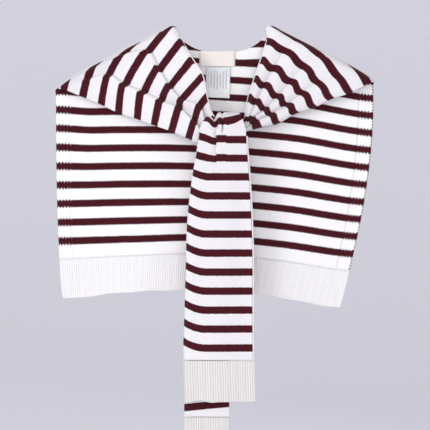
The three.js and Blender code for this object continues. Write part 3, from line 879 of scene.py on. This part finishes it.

# %% [markdown]
# ### The sheet of the front tie
# The sheet is finest at the two slits of the knot.

# %% The sheet of the front tie
front_tie = knit_sheet(
    "front_tie_knit",
    tie_sheet_place,
    tie_knit_map,
    joined((0, 0.12, 9), (0.12, 0.36, 24), (0.36, 0.56, 48), (0.56, 0.976, 30)),
    joined((0, 100, 90), (100, FRONT_LENGTH, 150)),
    [tie_knit, tie_reverse],
    turn_over=True,
)
FRONT_BEND = ((0, -0.038, -0.150), (0, -0.038, -0.195))
bends_for(front_tie, "front_tail", FRONT_BEND, "striped_jersey", "front_tie_turn", "front_tie")

# %% [markdown]
# ### Selvedge of the front tie
# The tie's right edge is the same plain selvedge. It comes out from under the turn, so its bead
# starts below the knot.

# %% Selvedge of the front tie
SELVEDGE_START = 17.5  # mm below the end of the turn


def tie_selvedge_line(share):
    run = FRONT_LENGTH - BACK_LIMB - ARC - SELVEDGE_START
    gone = BACK_LIMB + ARC + SELVEDGE_START + run * share
    x, y, z = tie_sheet_place(np.full_like(share, 0.985), gone)
    return x + 0.6, y, z


tie_selvedge = bead("front_tie_selvedge_links", tie_selvedge_line, 1.1, 1.3, selvedge_knit, 304)
bends_for(tie_selvedge, "front_tail", FRONT_BEND, "white_selvedge", "front_tie_selvedge")

# %% [markdown]
# ### Cuff of the front tie
# The tie ends in a ribbed cuff, cast off loosely, so its lower edge ripples. It goes on down the
# tie's own surface, and stays plain at the left, where the tie's roll runs out.

# %% Cuff of the front tie
CUFF_TOP, CUFF_LOW = -458.4, -514.6
CUFF_WIDTH, CUFF_HEIGHT = 96, 56  # mm, as knitted


def cuff_place(across, rise):
    z = CUFF_LOW + (CUFF_TOP - CUFF_LOW) * rise
    x, y, _ = tie_sheet_place(across, FRONT_LENGTH + 0.4 + (CUFF_TOP - z))
    distance = across * CUFF_WIDTH
    edge = (CUFF_TOP - CUFF_LOW) * np.minimum(rise, 1 - rise)
    plain = smooth(distance, 13, 20)
    y = y - ribbed(distance) * plain * (0.4 + 0.6 * smooth(edge, 0, 4))
    y = y - 1.0 * np.exp(-(CUFF_LOW - z) / -4)
    ripple = np.exp(-(z - CUFF_LOW) / 14) * 1.6 * np.sin((across - 0.1) * 2 * np.pi * 2.2)
    return x, y, z + ripple * (1 - smooth(across, 0.3, 0.5))


front_cuff = knit_sheet(
    "front_tie_cuff_knit",
    cuff_place,
    lambda across, rise: (across * CUFF_WIDTH, rise * CUFF_HEIGHT),
    rib_columns(CUFF_WIDTH),
    np.linspace(0, 1, 30),
    [cuff_knit],
    thickness=2.4,
)
stands_for(front_cuff, "front_tail", "white_rib", "front_tie_rib")

# %% [markdown]
# ## Rear tie
# The right panel passes through the knot and falls behind as the rear tie. It hangs folded double
# along its length, with the fold at its left, so its cloth goes down one side and back up the
# other. Its end has the same ribbed cuff.

# %% Rear tie
REAR_X, REAR_LENGTH = -20.5, 369.0
REAR_WIDTH = 124  # mm, as knitted, both layers
REAR_STRIPES = 524  # mm below the neck points, where the fold crosses the last stripe


def rear_surface(turn, fall, gap):
    """turn runs 0 to 1 from the front layer's free edge, round the fold, to the back layer's."""
    opening = 30 + 32 * (1 - np.exp(-np.maximum(fall - 15, 0) / 100))
    wide = np.where(fall < 15, 26 + 4 * np.clip(fall / 15, 0, 1), opening)
    flat = np.abs(turn - 0.5) * 2  # 1 at the free edges, 0 at the fold
    side = np.sign(turn - 0.5)
    bend = np.clip(flat / 0.06, 0, 1)
    around = np.sin(bend * np.pi / 2)
    x = REAR_X - wide / 2 + wide * flat
    y = RIGHT_KNOT_Y + 3 * smooth(fall, 20, 200) + side * gap * around
    gather = (1 - smooth(fall, 0, 150)) * 1.1
    y = y + gather * np.sin(flat * 3 * 2 * np.pi) * (1 - 0.4 * side)
    y = y + 0.8 * smooth(fall, 80, 200) * np.sin(2 * np.pi * (flat * 0.9 + fall / 400))
    return x, y, REAR_TIE_TOP - fall


def rear_map(turn, fall):
    flat = np.abs(turn - 0.5) * 2
    return turn * REAR_WIDTH, TIE_LAST + fall - REAR_TIE_TOP - REAR_STRIPES + 6 * flat


rear_tie = knit_sheet(
    "rear_tie_knit",
    lambda turn, fall: rear_surface(turn, fall, 1.35),
    rear_map,
    joined((0, 0.44, 30), (0.44, 0.56, 13), (0.56, 1, 30)),
    np.linspace(0.6, REAR_LENGTH - 0.4, 190),
    [tie_knit, tie_reverse],
    thickness=1.8,
)
REAR_BEND = ((REAR_X * MM, -0.0176, -0.168), (REAR_X * MM, -0.0176, -0.205))
bends_for(rear_tie, "rear_tail", REAR_BEND, "striped_jersey", "rear_tie")


def rear_cuff_place(turn, fall):
    x, y, z = rear_surface(turn, fall, 1.5)
    side = np.sign(turn - 0.5)
    ribs = ribbed(turn * REAR_WIDTH, 0.7) * smooth(np.abs(turn - 0.5), 0.03, 0.06)
    return x, y + side * ribs, z


rear_cuff = knit_sheet(
    "rear_tie_cuff_knit",
    rear_cuff_place,
    lambda turn, fall: (turn * REAR_WIDTH, fall),
    rib_columns(REAR_WIDTH),
    np.linspace(REAR_LENGTH, REAR_LENGTH + 56.8, 26),
    [cuff_knit],
    thickness=1.8,
)
stands_for(rear_cuff, "rear_tail", "white_rib", "rear_tie_rib")

# %% [markdown]
# ## Wrap of the knot
# Between the left panel's crossing and the turn, the cloth goes round behind the right panel. This
# part of the knot is narrow and drawn together, so it is a strip with three pleats along it.

# %% Knot wrap
WRAP = [
    (23.7, -28.6, -148.5), (26.7, -28.6, -150), (29, -23.6, -159.3),
    (26, -18.6, -168.3), (18, -9.6, -164.3), (9, -8.6, -154.3),
]
WRAP_HALF = [7.5, 7.0, 5, 5, 6, 7.5]
WRAP_WIDTH, WRAP_LENGTH = 100, 46  # mm of knitting; it goes on from the left panel


def wrap_place(across, share):
    middle = through(WRAP, share)
    ahead = through(WRAP, share + 0.01) - through(WRAP, share - 0.01)
    ahead /= np.linalg.norm(ahead, axis=-1, keepdims=True)
    tall = np.array([0.2, 0.0, 1.0])
    tall = tall - ahead * (ahead @ tall)[..., None]
    tall /= np.linalg.norm(tall, axis=-1, keepdims=True)
    out = np.cross(tall, ahead)
    half = through(WRAP_HALF, share)[..., None]
    wave = (1.5 * np.cos(across * 3 * 2 * np.pi) - 1.0 * (2 * across - 1) ** 2)[..., None]
    spot = middle + tall * half * (2 * across[..., None] - 1) + out * wave
    return spot[..., 0], spot[..., 1], spot[..., 2]


wrap = knit_sheet(
    "knot_wrap_knit",
    wrap_place,
    lambda across, share: (across * WRAP_WIDTH, LEFT_KNIT[-1] + share * WRAP_LENGTH),
    np.linspace(0, 1, 37),
    np.linspace(0, 1, 40),
    [panel_knit, panel_reverse],
    thickness=1.6,
)
stands_for(wrap, "shawl", "striped_jersey", "knot_wrap")

# %% [markdown]
# ## Labels
# A blank label of woven polyester is stitched inside the back neck by its two ends. A satin care
# label hangs below it, printed with plain bars. Woven polyester is smooth and slightly glossy;
# satin has long floats that give it a soft sheen.

# %% Label materials
BAR_PITCH, BARS_MIDDLE, BARS_HALF = 4.2, 17.0, 13.5  # mm across the label


def printed(tree, colour, ink, across, along):
    """Bars of different length on the upper part of a label, and a paler lower part."""
    colour = mixed(tree, softly(tree, along, 8.0, 34.0, 0.0, 1.0), linear("F4F4F4"), colour)
    line = maths(tree, [("DIVIDE", BAR_PITCH), ("FRACT",), ("GREATER_THAN", 0.6)], across)
    number = maths(tree, [("DIVIDE", BAR_PITCH), ("FLOOR",)], across)
    chance = add_node(tree, "ShaderNodeTexWhiteNoise", {"noise_dimensions": "1D"}, {"W": number}).outputs[0]
    reach = maths(tree, [("MULTIPLY", 5.0), ("ADD", 9.0)], chance)
    inside = maths(tree, [("SUBTRACT", 25.0), ("ABSOLUTE",), ("LESS_THAN", reach)], along)
    wide = maths(tree, [("SUBTRACT", BARS_MIDDLE), ("ABSOLUTE",), ("LESS_THAN", BARS_HALF)], across)
    bars = maths(tree, [("MULTIPLY", inside), ("MULTIPLY", wide), ("MULTIPLY", 0.55)], line)
    return mixed(tree, bars, colour, linear(ink))


def label_material(name, hexes, thread, rough, satin=False):
    """A fine weave; satin has longer floats along it, a sheen and a print."""
    material, tree, _, across, along = cloth_material(name)
    warp = maths(tree, [("MULTIPLY", 2 * np.pi / thread), ("SINE",)], across)
    weft = maths(tree, [("MULTIPLY", 2 * np.pi / (thread * (3 if satin else 1))), ("SINE",)], along)
    weave = maths(tree, [("MULTIPLY", warp), ("MULTIPLY", 0.5), ("ADD", 0.5)], weft)
    colour = mixed(tree, weave, linear(hexes[0]), linear(hexes[1]))
    if satin:
        colour = printed(tree, colour, hexes[2], across, along)
    lift = {"Strength": 0.3, "Distance": 0.0002, "Height": weave}
    relief = add_node(tree, "ShaderNodeBump", inputs=lift).outputs[0]
    inputs = {"Base Color": colour, "Roughness": rough, "Specular IOR Level": 0.5, "Normal": relief}
    if satin:
        inputs["Sheen Weight"] = 0.2
        inputs["Anisotropic"] = 0.4
    return finished(material, tree, inputs)


woven_label = label_material("woven_polyester_label", ("E6DFD8", "F1ECE6"), 0.9, 0.6)
satin_label = label_material("printed_satin_label", ("D3D5D9", "E4E6E8", "8E9298"), 0.8, 0.38, satin=True)
print(len(bpy.data.materials), "materials made")

# %% [markdown]
# ### Labels and their stitches
# The upper label is stretched between two stitched ends and lies flat. The care label is held by its
# upper end only, so it bows out and hangs slightly askew.

# %% Labels and their stitches
LABEL_Y = 7.1  # just before the inner side of the back
BRAND_WIDTH, BRAND_HEIGHT = 50, 22
CARE_WIDTH, CARE_HEIGHT = 34, 43


def brand_place(u, v):
    bow = 0.2 * np.sin(np.pi * u) * np.sin(np.pi * v)
    return -6.5 + 49.6 * (u - 0.5), LABEL_Y - bow, -33.2 - 21.6 * v


def care_place(u, v):
    bow = 0.9 * np.sin(np.pi * v) * (0.4 + 0.6 * u)
    y = LABEL_Y - bow - 0.3 * np.sin(np.pi * u) * v
    return -5 + 33.6 * (u - 0.5) - 1.2 * v, y, -55.5 - 42.6 * v - 1.4 * (u - 0.5) * v


def label(name, place, width, height, grid, material, thickness):
    """A woven label; V runs up it."""

    def knit(u, v):
        return u * width, height - v * height

    us, vs = np.linspace(0, 1, grid[0]), np.linspace(0, 1, grid[1])
    return knit_sheet(name, place, knit, us, vs, [material], thickness, turn_over=True)


brand_label = label("brand_label_woven", brand_place, BRAND_WIDTH, BRAND_HEIGHT, (26, 14), woven_label, 0.5)
stands_for(brand_label, "shawl", "woven_label", "brand_label")
care_label = label("care_label_satin", care_place, CARE_WIDTH, CARE_HEIGHT, (24, 32), satin_label, 0.35)
stands_for(care_label, "care_tag", "satin_label", "care_label")


def stitch_line(x):
    def line(share):
        return np.full_like(share, x), np.full_like(share, 6.3), -34.5 - 19.0 * share
    return line


for side, x in (("left", -29.5), ("right", 16.5)):
    thread = bead(f"label_stitch_{side}_thread", stitch_line(x), 0.34, 0.34, seam_thread, 19, 2.4, sides=8)
    stands_for(thread, "shawl", "linking_thread", f"label_stitch_{side}")

# %% [markdown]
# ## Width of the back panel

print("thirteen sheets declared, of which the back panel is", BACK_WIDTH - 2 * SIDE_BAND, "mm wide")

# %% [markdown]
# ## Stage, light and camera
# A pale sweep stands well below and behind, so that no edge of it shows. The light is soft: a big
# panel above and to the left, a fill from the right, and an even glow from all round.

# %% Sweep
FLOOR_Z, FLOOR_START, FLOOR_END = -980, -22000, 2600
BEND_RADIUS = 1500
SWEEP_RUN, SWEEP_WIDTH = 30000, 44000


def sweep_place(u, v):
    """A floor that bends up into a wall, in mm."""
    out = v * SWEEP_RUN + FLOOR_START
    bend = np.clip((out - FLOOR_END) / (BEND_RADIUS * np.pi / 2), 0, 1) * np.pi / 2
    up = np.maximum(out - FLOOR_END - BEND_RADIUS * np.pi / 2, 0)
    y = np.minimum(out, FLOOR_END) + BEND_RADIUS * np.sin(bend)
    z = FLOOR_Z + BEND_RADIUS * (1 - np.cos(bend)) + up * 2.2
    return (u - 0.5) * SWEEP_WIDTH, y, z


paper = bpy.data.materials.new("matt_backdrop_paper")
paper.use_nodes = True
shader = paper.node_tree.nodes["Principled BSDF"]
shader.inputs["Base Color"].default_value = linear("F7F7FE")
shader.inputs["Roughness"].default_value = 0.95
shader.inputs["Specular IOR Level"].default_value = 0.1
us, vs = np.linspace(0, 1, 5), np.linspace(0, 1, 260)
sweep = knit_sheet("backdrop_sweep", sweep_place, lambda u, v: (u, v), us, vs, [paper], thickness=2)

# %% [markdown]
# ### Lights
# White knitwear needs soft light from one side, so that its ribs show without hard shadows. Every
# light is a large round panel that looks at the middle of the shawl.

# %% Lights
SHAWL_MIDDLE = Vector((0, 0, -0.25))


def area_light(name, place, size, power):
    """A round panel at a place in metres, turned to the shawl."""
    lamp = bpy.data.lights.new(name, "AREA")
    lamp.shape = "DISK"
    lamp.size = size
    lamp.energy = power
    lamp.color = (1, 1, 1)
    light = bpy.data.objects.new(name, lamp)
    light.location = place
    light.rotation_euler = (SHAWL_MIDDLE - Vector(place)).to_track_quat("-Z", "Y").to_euler()
    bpy.context.collection.objects.link(light)


area_light("softbox_key", (-1.8, -1.9, 0.5), 1.1, 22)
area_light("softbox_front", (0.2, -2.9, 0.0), 2.0, 26)
area_light("softbox_back", (0.6, 2.0, 0.9), 1.8, 16)
world = bpy.data.worlds.new("even_glow")
world.use_nodes = True
world.node_tree.nodes["Background"].inputs["Color"].default_value = linear("F8F7FA")
world.node_tree.nodes["Background"].inputs["Strength"].default_value = 0.6
bpy.context.scene.world = world
bpy.context.scene.view_settings.view_transform = "Standard"
print(len(bpy.data.lights), "lights and an even glow")

# %% [markdown]
# ### Camera
# A long lens looks level at the shawl from its front, with hardly any perspective.

# %% Camera
lens = bpy.data.cameras.new("camera")
lens.lens, lens.sensor_width = 133.5, 36
camera = bpy.data.objects.new("camera", lens)
camera.location = (-0.0096, -2.2, -0.2603)
camera.rotation_euler = (np.pi / 2, 0, 0)
bpy.context.collection.objects.link(camera)
bpy.context.scene.camera = camera
print("camera", lens.lens, "mm at", tuple(camera.location))
